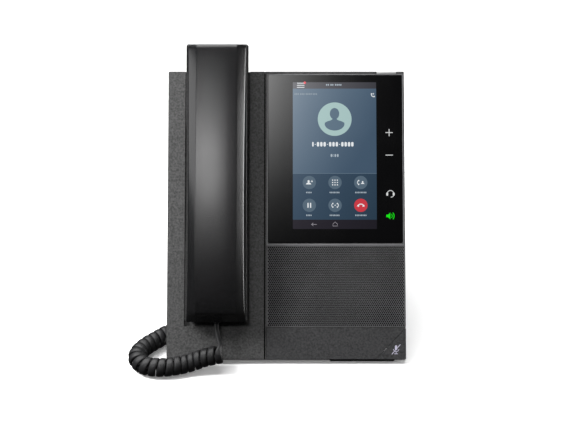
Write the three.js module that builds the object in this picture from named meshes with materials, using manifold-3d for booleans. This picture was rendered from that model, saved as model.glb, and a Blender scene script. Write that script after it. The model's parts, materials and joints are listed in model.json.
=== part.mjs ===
// Desk telephone with a corded handset and a touch display, standing on its clip-on stand.
// Millimetres. +X to the right, +Y to the back, +Z up; the desk is the plane z = 0.
// The control face leans back. Inside the "face" group X is still to the right, Y runs up the
// face from its lower edge and Z comes straight out of it, so z = 0 is the face itself.

import * as THREE from 'three';
import { mergeVertices } from 'three/addons/utils/BufferGeometryUtils.js';
import Module from 'manifold-3d';

const wasm = await Module();
wasm.setup();

// ---------------------------------------------------------------- driving dimensions
const GAP = 0.3;                      // clearance between neighbouring pieces
const FACE_TILT = 55;                 // degrees from the desk to the face
const FACE_WIDTH = 176;
const FACE_LENGTH = 214.5;
const FACE_CORNER = 0.9;
const HALF_WIDTH = FACE_WIDTH / 2;

const FRONT_DEPTH = 12;               // front housing, face to parting line
const WALL = 2.4;
const INLAY_DEPTH = 2.2;              // glass, grille and trim bar sit this deep in the face
const LIP_DEPTH = 4;                  // end face along the lower edge, square to the face
const HOUSING_CLEARANCE = 2;          // underside of the front housing above the desk

const SEAM_X = -14.9;                 // joint between handset side and display side
const SEAM_DEPTH = 2;
const TRIM_BOTTOM = 0.4;
const TRIM_TOP = 23.9;
const GRILLE_TOP = 83.9;
const GLASS = { left: -13.6, right: 86.4, bottom: 86, top: 212.3, corner: 1.5 };

const CHANNEL = { left: -75.2, right: -27.2, bottom: 24.5, depth: 3 };
const WELL = { left: -74.2, right: -28.2, depth: 8 };
const MOUTH_WELL = { bottom: 30.5, top: 81.2 };
const EAR_WELL_BOTTOM = 176.6;

const HANDSET_X = -51;
const HANDSET_HALF_WIDTH = 23.1;
const HANDSET_BOTTOM = 28.3;
const HANDSET_TOP = 232.4;
const SIDE_KNEE = 7;                  // the sides are upright up to here, then lean in
const SHOULDER = 20.5;                // top of the leaning sides
const SIDE_TAPER = 0.2;               // each handset side leans in this much per mm of height
const HANDSET_SPLIT = 13;             // parting plane between the two handset shells
const HANDSET_CROWN = 26;             // highest line of the back of the handset
const HANDSET_END_HEIGHT = 21;
const CUP_FACE = -7.5;                // ear and mouth cups reach down to here
const GRIP_FACE = 10;                 // underside of the grip
const HANDSET_WALL = 2.2;
const RECEIVER_Y = 203;
const MOUTHPIECE_Y = 57;

const REAR_FLANGE = 1.8;
const REAR_HALF_WIDTH = 82;
const REAR_BACK_WALL = 3;
const REAR_LOW = { bottom: 40, top: 92, back: -22 };
const REAR_HIGH = { bottom: 92, top: 206, back: -36 };
const BOARD_Z = -20;                  // underside of the main board

const PLUNGER = { x: -51.2, y: 190, radius: 3, collar: 5.6 };
const STAND_HALF_WIDTH = 58;
const STAND_PLATE = 3.5;

const CORD_COIL_RADIUS = 6.9;
const CORD_LEAD_RADIUS = 1.8;

// ---------------------------------------------------------------- materials
const finish = (color, roughness, metalness = 0) =>
  new THREE.MeshStandardMaterial({ color, roughness, metalness });

const charcoalPlastic = finish(0x3d3d3e, 0.62);
const handsetPlastic = finish(0x17181a, 0.38);
const trimPlastic = finish(0x38383a, 0.55);
const grillePlastic = finish(0x2b2b2c, 0.6);
const coverGlass = finish(0x050506, 0.06);
const displayPanel = finish(0x5d7388, 0.3);
const lampPlastic = finish(0xd2d2d0, 0.35);
const circuitBoard = finish(0x1d4a30, 0.55);
const steel = finish(0x9a9c9e, 0.35, 0.9);
const blackPlastic = finish(0x131314, 0.5);
const rubber = finish(0x1a1a1a, 0.85);
const speakerPaper = finish(0x202021, 0.9);
const cordJacket = finish(0x161617, 0.42);
const clearPlug = finish(0x9fa5a8, 0.2);

// ---------------------------------------------------------------- solids
function solid(geometry) {
  const bare = geometry.index ? geometry.toNonIndexed() : geometry.clone();
  bare.deleteAttribute('normal');
  bare.deleteAttribute('uv');
  const merged = mergeVertices(bare, 1e-4);
  return new wasm.Manifold(new wasm.Mesh({
    numProp: 3,
    vertProperties: new Float32Array(merged.attributes.position.array),
    triVerts: new Uint32Array(merged.index.array),
  }));
}

function block(x0, x1, y0, y1, z0, z1) {
  const box = new THREE.BoxGeometry(x1 - x0, y1 - y0, z1 - z0);
  box.translate((x0 + x1) / 2, (y0 + y1) / 2, (z0 + z1) / 2);
  return solid(box);
}

function roundedOutline(x0, x1, y0, y1, radius) {
  const outline = new THREE.Shape();
  outline.moveTo(x0 + radius, y0);
  outline.lineTo(x1 - radius, y0);
  outline.absarc(x1 - radius, y0 + radius, radius, -Math.PI / 2, 0);
  outline.lineTo(x1, y1 - radius);
  outline.absarc(x1 - radius, y1 - radius, radius, 0, Math.PI / 2);
  outline.lineTo(x0 + radius, y1);
  outline.absarc(x0 + radius, y1 - radius, radius, Math.PI / 2, Math.PI);
  outline.lineTo(x0, y0 + radius);
  outline.absarc(x0 + radius, y0 + radius, radius, Math.PI, Math.PI * 1.5);
  return outline;
}

// Rounded plate between z0 and z1; the bevel rounds its two outer edges.
function plate(x0, x1, y0, y1, z0, z1, radius, bevel = 0) {
  const outline = roundedOutline(x0 + bevel, x1 - bevel, y0 + bevel, y1 - bevel,
    Math.max(radius - bevel, 0.05));
  const geometry = new THREE.ExtrudeGeometry(outline, {
    depth: z1 - z0 - 2 * bevel,
    curveSegments: 4,
    bevelEnabled: bevel > 0,
    bevelSize: bevel,
    bevelThickness: bevel,
    bevelSegments: 2,
  });
  geometry.translate(0, 0, z0 + bevel);
  return solid(geometry);
}

function disc(x, y, z0, z1, radius, sides = 24) {
  const cylinder = new THREE.CylinderGeometry(radius, radius, z1 - z0, sides);
  cylinder.rotateX(Math.PI / 2);
  cylinder.translate(x, y, (z0 + z1) / 2);
  return solid(cylinder);
}

// Closed profile of [radius, height] points turned about an axis along Z.
function turned(x, y, profile, sides = 32) {
  const points = profile.map(([radius, height]) => new THREE.Vector2(radius, height));
  if (THREE.ShapeUtils.isClockWise(points)) points.reverse();
  const lathe = new THREE.LatheGeometry([...points, points[0]], sides);
  lathe.rotateX(Math.PI / 2);
  lathe.translate(x, y, 0);
  return solid(lathe);
}

// Side profile of [y, z] points, stretched from x0 to x1.
const SIDEWAYS = new THREE.Matrix4().makeBasis(
  new THREE.Vector3(0, 1, 0),
  new THREE.Vector3(0, 0, 1),
  new THREE.Vector3(1, 0, 0),
);

function sideProfile(points, x0, x1) {
  const outline = new THREE.Shape(points.map(([y, z]) => new THREE.Vector2(y, z)));
  const geometry = new THREE.ExtrudeGeometry(outline, { depth: x1 - x0, bevelEnabled: false });
  geometry.applyMatrix4(SIDEWAYS);
  geometry.translate(x0, 0, 0);
  return solid(geometry);
}

// Cross-section of [x, z] points, stretched from y0 to y1.
function crossSection(points, y0, y1) {
  const outline = new THREE.Shape(points.map(([x, z]) => new THREE.Vector2(x, z)));
  const geometry = new THREE.ExtrudeGeometry(outline, { depth: y1 - y0, bevelEnabled: false });
  geometry.rotateX(Math.PI / 2);
  geometry.translate(0, y1, 0);
  return solid(geometry);
}

// Outline of [x, y] points, stretched from z0 to z1.
function prism(points, z0, z1) {
  const outline = new THREE.Shape(points.map(([x, y]) => new THREE.Vector2(x, y)));
  const geometry = new THREE.ExtrudeGeometry(outline, { depth: z1 - z0, bevelEnabled: false });
  geometry.translate(0, 0, z0);
  return solid(geometry);
}

const joined = (...bodies) => bodies.reduce((whole, body) => whole.add(body));

function geometryOf(body) {
  const mesh = body.getMesh();
  const geometry = new THREE.BufferGeometry();
  const count = mesh.vertProperties.length / mesh.numProp;
  const positions = new Float32Array(count * 3);
  for (let i = 0; i < count; i += 1) {
    for (let axis = 0; axis < 3; axis += 1) {
      positions[i * 3 + axis] = mesh.vertProperties[i * mesh.numProp + axis];
    }
  }
  geometry.setAttribute('position', new THREE.BufferAttribute(positions, 3));
  geometry.setIndex(new THREE.BufferAttribute(new Uint32Array(mesh.triVerts), 1));
  geometry.computeVertexNormals();
  return geometry;
}

function put(parent, name, body, material, position = [0, 0, 0]) {
  const geometry = body.isBufferGeometry ? body : geometryOf(body);
  const mesh = new THREE.Mesh(geometry, material);
  mesh.name = name;
  mesh.position.set(...position);
  parent.add(mesh);
  return mesh;
}

// ---------------------------------------------------------------- assembly groups
const phone = new THREE.Group();
const face = new THREE.Group();
const stand = new THREE.Group();
const tilt = THREE.MathUtils.degToRad(FACE_TILT);
const faceHeight = HOUSING_CLEARANCE + LIP_DEPTH * Math.cos(tilt);
face.rotation.x = tilt;
face.position.z = faceHeight;
phone.add(face, stand);

// Everything lower than `height` above the desk, in the frame of the face.
function below(height) {
  const size = 600;
  const slab = new THREE.BoxGeometry(size, size, size);
  slab.translate(0, 0, height - faceHeight - size / 2);
  slab.rotateX(-tilt);
  return solid(slab);
}

// ---------------------------------------------------------------- front housing
const SPEAKER = { x: 36.5, y: 54 };
const MUTE_KEY = { left: 66.2, bottom: TRIM_BOTTOM, slope: 1.04 };

// Corner triangle of the mute key, grown by `margin` across its slanting edge.
function muteTriangle(margin, bottom, right) {
  const left = MUTE_KEY.left - margin - (MUTE_KEY.bottom - bottom) / MUTE_KEY.slope;
  return [[left, bottom], [right, bottom], [right, bottom + (right - left) * MUTE_KEY.slope]];
}

const LAMP = { left: 67.8, right: 82, bottom: 212.9, depth: 9 };
const TAB = { left: -57.2, right: -45.2, bottom: 160.3, top: 172, travel: 3.6 };
const RIGHT_CAVITY = { left: -13.5, right: 85.5, bottom: 2.5, top: 211.6, front: -4.7 };
const LEFT_CAVITY = { left: -85.5, right: -17.5, bottom: 2.5, top: 211.6, front: -7.4 };

function wells(margin, depth) {
  const { left, right } = WELL;
  const mouth = block(left - margin, right + margin,
    MOUTH_WELL.bottom - margin, MOUTH_WELL.top + margin, -depth, 1);
  const ear = block(left - margin, right + margin,
    EAR_WELL_BOTTOM - margin, FACE_LENGTH + 1, -depth, 1);
  return mouth.add(ear);
}

function frontHousing() {
  const bottomWall = HOUSING_CLEARANCE + WALL;
  const shell = plate(-HALF_WIDTH, HALF_WIDTH, 0, FACE_LENGTH, -FRONT_DEPTH, 0, FACE_CORNER, 0.6);
  const right = block(RIGHT_CAVITY.left, RIGHT_CAVITY.right, RIGHT_CAVITY.bottom,
    RIGHT_CAVITY.top, -FRONT_DEPTH - 1, RIGHT_CAVITY.front);
  const left = block(LEFT_CAVITY.left, LEFT_CAVITY.right, LEFT_CAVITY.bottom,
    LEFT_CAVITY.top, -FRONT_DEPTH - 1, LEFT_CAVITY.front).subtract(wells(WALL, WELL.depth + WALL));
  const channel = block(CHANNEL.left, CHANNEL.right, CHANNEL.bottom, FACE_LENGTH + 1,
    -CHANNEL.depth, 1);
  const glassRecess = plate(GLASS.left - GAP, GLASS.right + GAP, GLASS.bottom - GAP,
    GLASS.top + GAP, -INLAY_DEPTH - GAP, 1, GLASS.corner);
  const displayWindow = block(-10, 83, 90, 209, -FRONT_DEPTH, 0);
  const grilleRecess = block(SEAM_X, HALF_WIDTH + 1, TRIM_TOP + 0.2, GRILLE_TOP + GAP,
    -INLAY_DEPTH - GAP, 1);
  const speakerWindow = disc(SPEAKER.x, SPEAKER.y, -FRONT_DEPTH, 0, 22);
  const trimRecess = block(SEAM_X, HALF_WIDTH + 1, -1, TRIM_TOP + 0.2, -INLAY_DEPTH - GAP, 1);
  const muteTravel = prism(muteTriangle(0.7, -1, HALF_WIDTH + 1), -3.6, 1);
  const muteStem = block(72, 84, 6, 15, -FRONT_DEPTH, 0);
  const seam = block(SEAM_X - 1.5, SEAM_X - 0.6, -1, FACE_LENGTH + 1, -SEAM_DEPTH, 1);
  const lampNotch = block(LAMP.left - GAP, LAMP.right + GAP, LAMP.bottom - GAP, FACE_LENGTH + 1,
    -LAMP.depth - GAP, 1);
  const tabPocket = block(TAB.left - GAP, TAB.right + GAP, TAB.bottom - GAP,
    TAB.top + TAB.travel + GAP, -5, 0);
  const plungerHole = disc(PLUNGER.x, PLUNGER.y, -FRONT_DEPTH, 0, PLUNGER.radius + 0.4, 16);
  const microphoneHole = disc(-6, 12, -FRONT_DEPTH, 0, 1.2, 12);
  const thumbNotch = block(-9.5, -1.6, -1, 0.5, -LIP_DEPTH, 1);
  return shell
    .subtract(below(HOUSING_CLEARANCE))
    .subtract(joined(left, right).subtract(below(bottomWall)))
    .subtract(joined(channel, wells(0, WELL.depth), glassRecess, grilleRecess, trimRecess))
    .subtract(joined(displayWindow, speakerWindow, muteTravel, muteStem, seam, lampNotch))
    .subtract(joined(tabPocket, plungerHole, microphoneHole, thumbNotch));
}

put(face, 'front_housing', frontHousing(), charcoalPlastic);

// ---------------------------------------------------------------- rear housing and sockets
const JACK_FRONT = REAR_HIGH.bottom + GAP;
const JACKS = [
  { name: 'lan_jack', x: 46, width: 16, height: 12.2, hole: [11.8, 8.2], depth: 19, metal: true },
  { name: 'pc_jack', x: 66, width: 16, height: 12.2, hole: [11.8, 8.2], depth: 19, metal: true },
  { name: 'power_jack', x: 24, width: 10, height: 11, hole: [6.4, 6.4], depth: 14 },
  { name: 'headset_jack', x: -44, width: 11.6, height: 11, hole: [8.6, 7.2], depth: 15 },
  { name: 'handset_jack', x: -62, width: 11.6, height: 11, hole: [8.6, 7.2], depth: 15 },
];
const VENT = { left: -53, right: -27, bottom: 176, pitch: 3, height: 1.4, count: 8 };
const USB_PORT = { y0: 150, y1: 165, z0: -30.5, z1: -23.5, length: 13 };
const JACK_TOP = BOARD_Z - GAP;
const SCREW = { head: 2.6, headHeight: 1.6, shank: 1.2, length: 5, recess: 2.2 };
const CASE_SCREWS = [[-76, 192], [76, 192], [-76, 108], [76, 108]];

function jackCentre(jack) {
  return JACK_TOP - jack.height / 2;
}

function rearHousing() {
  const flange = plate(-85, 85, 12, 208, -FRONT_DEPTH - GAP - REAR_FLANGE, -FRONT_DEPTH - GAP, 3);
  const low = plate(-REAR_HALF_WIDTH, REAR_HALF_WIDTH, REAR_LOW.bottom, REAR_LOW.top + 6,
    REAR_LOW.back, -FRONT_DEPTH - GAP, 4);
  const high = plate(-REAR_HALF_WIDTH, REAR_HALF_WIDTH, REAR_HIGH.bottom, REAR_HIGH.top,
    REAR_HIGH.back, -FRONT_DEPTH - GAP, 4);
  const half = REAR_HALF_WIDTH - WALL;
  const lowHollow = block(-half, half, REAR_LOW.bottom + WALL, REAR_LOW.top + 6,
    REAR_LOW.back + WALL, 0);
  const highHollow = block(-half, half, REAR_HIGH.bottom + WALL, REAR_HIGH.top - WALL,
    REAR_HIGH.back + REAR_BACK_WALL, 0);
  const mouths = JACKS.map((jack) => {
    const halfWidth = jack.width / 2 + GAP;
    return block(jack.x - halfWidth, jack.x + halfWidth, 90, REAR_HIGH.bottom + WALL + 1,
      jackCentre(jack) - jack.height / 2 - GAP, BOARD_Z);
  });
  const usbMouth = block(half - 1, REAR_HALF_WIDTH + 1, USB_PORT.y0 - GAP, USB_PORT.y1 + GAP,
    USB_PORT.z0 - GAP, USB_PORT.z1 + GAP);
  const vents = Array.from({ length: VENT.count }, (_, i) => {
    const bottom = VENT.bottom + i * VENT.pitch;
    return block(VENT.left, VENT.right, bottom, bottom + VENT.height,
      REAR_HIGH.back - 1, REAR_HIGH.back + REAR_BACK_WALL + 1);
  });
  const screwRecesses = CASE_SCREWS.map(([x, y]) => joined(
    disc(x, y, REAR_HIGH.back - 1, REAR_HIGH.back + SCREW.recess, SCREW.head + 0.5, 20),
    disc(x, y, REAR_HIGH.back - 1, REAR_HIGH.back + REAR_BACK_WALL + 1, SCREW.shank + GAP, 12),
  ));
  const strip = block(-half + 1, half - 1, REAR_HIGH.bottom - 1, REAR_HIGH.bottom + WALL + 1,
    REAR_LOW.back + WALL, 0);
  return joined(flange, low, high)
    .subtract(joined(lowHollow, highHollow, strip))
    .subtract(joined(...mouths, usbMouth, ...vents, ...screwRecesses));
}

put(face, 'rear_housing', rearHousing(), charcoalPlastic);

for (const jack of JACKS) {
  const centre = jackCentre(jack);
  const [holeWidth, holeHeight] = jack.hole;
  const body = block(-jack.width / 2, jack.width / 2, 0, jack.depth,
    -jack.height / 2, jack.height / 2);
  const hole = block(-holeWidth / 2, holeWidth / 2, -1, jack.depth - 3,
    -holeHeight / 2, holeHeight / 2);
  const latch = block(-1.6, 1.6, -1, jack.depth - 6, -holeHeight / 2 - 1.2, 0);
  const opened = jack.name === 'power_jack'
    ? body.subtract(hole)
    : body.subtract(hole).subtract(latch);
  put(face, jack.name, opened, jack.metal ? steel : blackPlastic, [jack.x, JACK_FRONT, centre]);
}

const usbShell = block(-USB_PORT.length, 0, USB_PORT.y0, USB_PORT.y1, USB_PORT.z0, USB_PORT.z1);
const usbHole = block(-USB_PORT.length + 2, 1, USB_PORT.y0 + 1, USB_PORT.y1 - 1,
  USB_PORT.z0 + 1, USB_PORT.z1 - 1);
put(face, 'usb_port', usbShell.subtract(usbHole), steel, [REAR_HALF_WIDTH - GAP, 0, 0]);

put(face, 'main_board', block(-72, 76, 96, 200, BOARD_Z, BOARD_Z + 1.6), circuitBoard);

// ---------------------------------------------------------------- display stack
put(face, 'display_glass', plate(GLASS.left, GLASS.right, GLASS.bottom, GLASS.top,
  -INLAY_DEPTH + GAP, 0.1, GLASS.corner, 0.25), coverGlass);
put(face, 'lcd_panel', block(2.7, 69.3, 91.5, 208.6, -4.4, -INLAY_DEPTH), displayPanel);
put(face, 'touch_key_board', block(70, 82.4, 95, 182, -3.4, -INLAY_DEPTH), circuitBoard);
const trayRim = block(-9.6, 82.6, 90.4, 208.6, -7.4, -4.8)
  .subtract(block(-8.6, 81.6, 91.4, 207.6, -6.4, -4));
put(face, 'lcd_tray', trayRim, steel);
put(face, 'message_lamp', block(LAMP.left, LAMP.right, LAMP.bottom, FACE_LENGTH, -LAMP.depth, 0),
  lampPlastic);

// ---------------------------------------------------------------- speaker
put(face, 'speaker_grille', plate(SEAM_X + GAP, HALF_WIDTH, TRIM_TOP + 0.35, GRILLE_TOP,
  -INLAY_DEPTH, 0, 0.5, 0.2), grillePlastic);
put(face, 'speaker_gasket', turned(SPEAKER.x, SPEAKER.y,
  [[22.5, -6], [25, -6], [25, -5], [22.5, -5]]), rubber);
put(face, 'speaker_basket', turned(SPEAKER.x, SPEAKER.y,
  [[10, -11.6], [13, -11.6], [24, -8], [25, -6.3], [23.4, -6.3], [12, -10.4], [10, -10.4]]),
steel);
put(face, 'speaker_cone', turned(SPEAKER.x, SPEAKER.y,
  [[0, -9.6], [8, -9.6], [21, -6.2], [20, -5.4], [8, -8.6], [0, -7.4]]), speakerPaper);
put(face, 'speaker_magnet', disc(SPEAKER.x, SPEAKER.y, -18.6, -11.9, 11), steel);

// ---------------------------------------------------------------- trim bar, mute key, microphone
const trimOutline = plate(SEAM_X + GAP, HALF_WIDTH, TRIM_BOTTOM, TRIM_TOP - 0.15, -INLAY_DEPTH, 0,
  0.5, 0.2);
const keyPocket = prism(muteTriangle(0.45, -1, HALF_WIDTH + 1), -5, 1);
put(face, 'lower_trim_bar', trimOutline.subtract(keyPocket), trimPlastic);
put(face, 'mute_button', prism(muteTriangle(0, MUTE_KEY.bottom, HALF_WIDTH), -2.5, 0)
  .intersect(plate(-HALF_WIDTH, HALF_WIDTH, 0, FACE_LENGTH, -4, 2, FACE_CORNER)), trimPlastic);
put(face, 'mute_switch', block(-3, 3, -3, 3, -3.4, 0), blackPlastic, [78, 10.5, -3.7]);
put(face, 'mute_board', block(64, 84, 8.6, 24, -8.6, -7.4), circuitBoard);
put(face, 'handsfree_microphone', disc(0, 0, -8.5, -5.9, 2.4), steel, [-6, 12, 0]);
put(face, 'microphone_boot', turned(-6, 12, [[2.7, -8], [3.6, -8], [3.6, -5], [1.3, -5],
  [1.3, -5.6], [2.7, -5.6]], 24), rubber);

// ---------------------------------------------------------------- hook switch and hanging tab
const plungerTop = -WELL.depth + 0.2;
put(face, 'hook_plunger', disc(0, 0, -13.8, plungerTop, PLUNGER.radius, 16)
  .add(disc(0, 0, -14.8, -13.7, PLUNGER.collar, 20)), blackPlastic, [PLUNGER.x, PLUNGER.y, 0]);
put(face, 'hook_switch', block(-3, 3, -3, 3, BOARD_Z + 1.9, -15.2), blackPlastic,
  [PLUNGER.x, PLUNGER.y, 0]);

class SpringCoil extends THREE.Curve {
  constructor(radius, height, turns) {
    super();
    this.radius = radius;
    this.height = height;
    this.turns = turns;
  }

  getPoint(t, target = new THREE.Vector3()) {
    const angle = t * this.turns * Math.PI * 2;
    return target.set(this.radius * Math.cos(angle), this.radius * Math.sin(angle),
      this.height * t);
  }
}

function roundSection(radius, sides) {
  const points = Array.from({ length: sides }, (_, i) => {
    const angle = (i / sides) * Math.PI * 2;
    return new THREE.Vector2(radius * Math.cos(angle), radius * Math.sin(angle));
  });
  return new THREE.Shape(points);
}

function tube(curve, radius, sides, steps) {
  const geometry = new THREE.ExtrudeGeometry(roundSection(radius, sides), {
    steps,
    bevelEnabled: false,
    extrudePath: curve,
  });
  return solid(geometry);
}

put(face, 'hook_spring', tube(new SpringCoil(4.9, 2.1, 3), 0.25, 6, 48), steel,
  [PLUNGER.x, PLUNGER.y, BOARD_Z + 2.2]);

put(face, 'hanging_tab', block(TAB.left, TAB.right, TAB.bottom, TAB.top, -4.7, -3)
  .add(block(TAB.left + 2, TAB.right - 2, TAB.top - 3, TAB.top, -3.1, 0.8)), charcoalPlastic);

// ---------------------------------------------------------------- handset
const handset = new THREE.Group();
handset.position.x = HANDSET_X;
face.add(handset);

// Back of the handset: a shallow arch from end to end.
function backLine(inset, steps = 12) {
  const y0 = HANDSET_BOTTOM + 4.5 + inset;
  const y1 = HANDSET_TOP - 1.5 - inset;
  return Array.from({ length: steps + 1 }, (_, i) => {
    const t = i / steps;
    const rise = Math.sin(Math.PI * t) ** 0.8;
    const z = HANDSET_END_HEIGHT + (HANDSET_CROWN - HANDSET_END_HEIGHT) * rise - inset;
    return [y0 + (y1 - y0) * t, z];
  });
}

// Half of the handset's cross-section: sloped side, shoulder, then the crowned back.
function handsetSection(inset) {
  const half = [
    [HANDSET_HALF_WIDTH - inset, 0], [HANDSET_HALF_WIDTH - inset, SIDE_KNEE],
    [HANDSET_HALF_WIDTH - (SHOULDER - SIDE_KNEE) * SIDE_TAPER - inset, SHOULDER - inset],
    [HANDSET_HALF_WIDTH - 8.2, 24.3 - inset],
    [7, HANDSET_CROWN - 0.4 - inset], [0, HANDSET_CROWN - inset],
  ];
  const mirrored = half.slice(0, -1).reverse().map(([x, z]) => [-x, z]);
  return [...half, ...mirrored];
}

function handsetBack(inset, split) {
  const profile = [
    [HANDSET_TOP - inset, split], ...backLine(inset).reverse(), [HANDSET_BOTTOM + inset, split],
  ];
  return sideProfile(profile, -30, 30)
    .intersect(crossSection(handsetSection(inset), 0, 260));
}

const innerTop = HANDSET_SPLIT - GAP;
const innerProfile = [
  [HANDSET_BOTTOM, innerTop], [HANDSET_BOTTOM, 1.5], [37, CUP_FACE], [77, CUP_FACE], [82, 5],
  [88, GRIP_FACE], [129, GRIP_FACE + 0.6], [170, GRIP_FACE], [176, 5], [181, CUP_FACE],
  [222, CUP_FACE], [HANDSET_TOP, 2], [HANDSET_TOP, innerTop],
];

function innerSection(inset) {
  const half = HANDSET_HALF_WIDTH - inset;
  const splitHalf = half - (HANDSET_SPLIT - SIDE_KNEE) * SIDE_TAPER;
  const bottom = [
    [half - 4, CUP_FACE], [half - 2, CUP_FACE + 2.5], [half, SIDE_KNEE], [splitHalf, HANDSET_SPLIT],
  ];
  return [...bottom, ...bottom.slice().reverse().map(([x, z]) => [-x, z])];
}

const outerHollow = handsetBack(HANDSET_WALL, 0).subtract(block(-30, 30, 0, 260, -1, 5));
const outerShell = handsetBack(0, HANDSET_SPLIT).subtract(outerHollow)
  .subtract(block(-30, 30, 0, 260, -20, HANDSET_SPLIT));
put(handset, 'handset_outer_shell', outerShell, handsetPlastic);

const SOCKET = {
  halfWidth: 6.2, z0: 2.6, z1: 12, length: 12.4, holeHalf: 4.2, hole0: 4, hole1: 10.8,
};
const cupFloor = CUP_FACE + HANDSET_WALL;
const openTop = HANDSET_SPLIT + 1;
const mouthHollow = [
  [HANDSET_BOTTOM + HANDSET_WALL, openTop], [HANDSET_BOTTOM + HANDSET_WALL, 2.5],
  [38, cupFloor], [75.8, cupFloor], [80, 5], [80, openTop],
];
const earHollow = [
  [178, openTop], [178, 5], [182.2, cupFloor], [221, cupFloor],
  [HANDSET_TOP - HANDSET_WALL, 3], [HANDSET_TOP - HANDSET_WALL, openTop],
];
const hollowSection = innerSection(HANDSET_WALL);
for (const point of hollowSection.slice(3, 5)) point[1] = openTop;
const cupHollows = sideProfile(mouthHollow, -30, 30).add(sideProfile(earHollow, -30, 30))
  .intersect(crossSection(hollowSection, 0, 260));
const receiverHoles = [[0, 0], ...Array.from({ length: 6 }, (_, i) => [
  5 * Math.cos((i * Math.PI) / 3), 5 * Math.sin((i * Math.PI) / 3)])]
  .map(([x, y]) => disc(x, RECEIVER_Y + y, -10, 0, 1.1, 8));
const speakSlots = [-3, 0, 3].map((x) => block(x - 0.7, x + 0.7, MOUTHPIECE_Y - 3,
  MOUTHPIECE_Y + 3, -10, 0));
const socketMouth = block(-SOCKET.holeHalf, SOCKET.holeHalf, HANDSET_BOTTOM - 1,
  HANDSET_BOTTOM + 4, SOCKET.hole0, SOCKET.hole1);
const HANDSET_SCREWS = [92, 166];
const screwHoles = HANDSET_SCREWS.map((y) => joined(
  disc(0, y, GRIP_FACE - 2, GRIP_FACE + 2, SCREW.head + 0.5, 20),
  disc(0, y, GRIP_FACE - 2, HANDSET_SPLIT + 2, SCREW.shank + GAP, 12),
));
const innerShell = sideProfile(innerProfile, -30, 30)
  .intersect(crossSection(innerSection(0), 0, 260))
  .subtract(cupHollows)
  .subtract(joined(...receiverHoles, ...speakSlots, ...screwHoles, socketMouth));
put(handset, 'handset_inner_shell', innerShell, handsetPlastic);

put(handset, 'receiver_gasket', turned(0, RECEIVER_Y,
  [[10, -5], [14, -5], [14, -4], [10, -4]]), rubber);
put(handset, 'receiver', disc(0, RECEIVER_Y, -3.7, 2, 15, 28), steel);
put(handset, 'mouthpiece_microphone', disc(0, MOUTHPIECE_Y, -4.9, -0.6, 4.8, 20), steel);
put(handset, 'balance_weight', block(-14, 14, 98, 152, 13.4, 19), steel);

const socketBody = block(-SOCKET.halfWidth, SOCKET.halfWidth, 0, SOCKET.length,
  SOCKET.z0, SOCKET.z1);
const socketHole = block(-SOCKET.holeHalf, SOCKET.holeHalf, -1, SOCKET.length - 2,
  SOCKET.hole0, SOCKET.hole1);
put(handset, 'handset_socket', socketBody.subtract(socketHole), blackPlastic,
  [0, HANDSET_BOTTOM + HANDSET_WALL + GAP, 0]);
const handsetPlugCentre = (SOCKET.hole0 + SOCKET.hole1) / 2;
put(handset, 'handset_plug', block(-3.8, 3.8, 0, 13.6, -3, 3), clearPlug,
  [0, HANDSET_BOTTOM - 1.2, handsetPlugCentre]);
const baseJack = JACKS.find((jack) => jack.name === 'handset_jack');
put(face, 'base_plug', block(-3.8, 3.8, 0, 13.6, -3, 3), clearPlug,
  [baseJack.x, JACK_FRONT - 4, jackCentre(baseJack)]);

// ---------------------------------------------------------------- feet, stand, screws
// Cross-head screw, head at z = 0, shank towards +Z.
function screw() {
  const slot = block(-1.7, 1.7, -0.4, 0.4, -0.1, 0.7).add(block(-0.4, 0.4, -1.7, 1.7, -0.1, 0.7));
  return disc(0, 0, 0, SCREW.headHeight, SCREW.head, 16)
    .add(disc(0, 0, SCREW.headHeight - 0.1, SCREW.length, SCREW.shank, 10))
    .subtract(slot);
}

CASE_SCREWS.forEach(([x, y], i) => {
  put(face, `case_screw_${i + 1}`, screw(), steel, [x, y, REAR_HIGH.back + 0.2]);
});
HANDSET_SCREWS.forEach((y, i) => {
  put(handset, `handset_screw_${i + 1}`, screw(), steel, [0, y, GRIP_FACE + 0.3]);
});

const footHeight = HOUSING_CLEARANCE - GAP;
for (const [side, x0, x1] of [['left', -80, -48], ['right', 32, 80]]) {
  put(stand, `front_foot_${side}`, plate(-(x1 - x0) / 2, (x1 - x0) / 2, 0, 7, 0, footHeight, 1.5),
    rubber, [(x0 + x1) / 2, 4.2, 0]);
}

// Point on the back of the rear housing at `along` mm up the face, `clear` mm behind it.
function behind(along, clear) {
  const z = REAR_HIGH.back - clear;
  return [
    along * Math.cos(tilt) - z * Math.sin(tilt),
    faceHeight + along * Math.sin(tilt) + z * Math.cos(tilt),
  ];
}

const STAND_FOOT = { heel: 139, toe: 84, base: 2 };
const standFrame = sideProfile([
  behind(124, GAP), behind(158, GAP), behind(158, GAP + STAND_PLATE), behind(146, GAP + STAND_PLATE),
  [STAND_FOOT.heel, STAND_FOOT.base + 3], [STAND_FOOT.heel, STAND_FOOT.base],
  [STAND_FOOT.toe, STAND_FOOT.base], [STAND_FOOT.toe, STAND_FOOT.base + STAND_PLATE],
  [STAND_FOOT.heel - 7, STAND_FOOT.base + STAND_PLATE],
  behind(132, GAP + STAND_PLATE), behind(124, GAP + STAND_PLATE),
], -STAND_HALF_WIDTH, STAND_HALF_WIDTH);
const cableWindow = block(-32, 32, 100, 150, 18, 72);
put(stand, 'desk_stand', standFrame.subtract(cableWindow), charcoalPlastic);
for (const [side, x] of [['left', -44], ['right', 44]]) {
  put(stand, `rear_foot_${side}`, plate(-8, 8, -4, 4, 0, STAND_FOOT.base - GAP, 1.5), rubber,
    [x, 131, 0]);
}

// ---------------------------------------------------------------- centring
// The middle of the phone's depth sits at y = 0; the desk is already at z = 0.
const outline = new THREE.Box3().setFromObject(phone, true);
const depthShift = -(outline.min.y + outline.max.y) / 2;
face.position.y = depthShift;
stand.position.y = depthShift;

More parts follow.
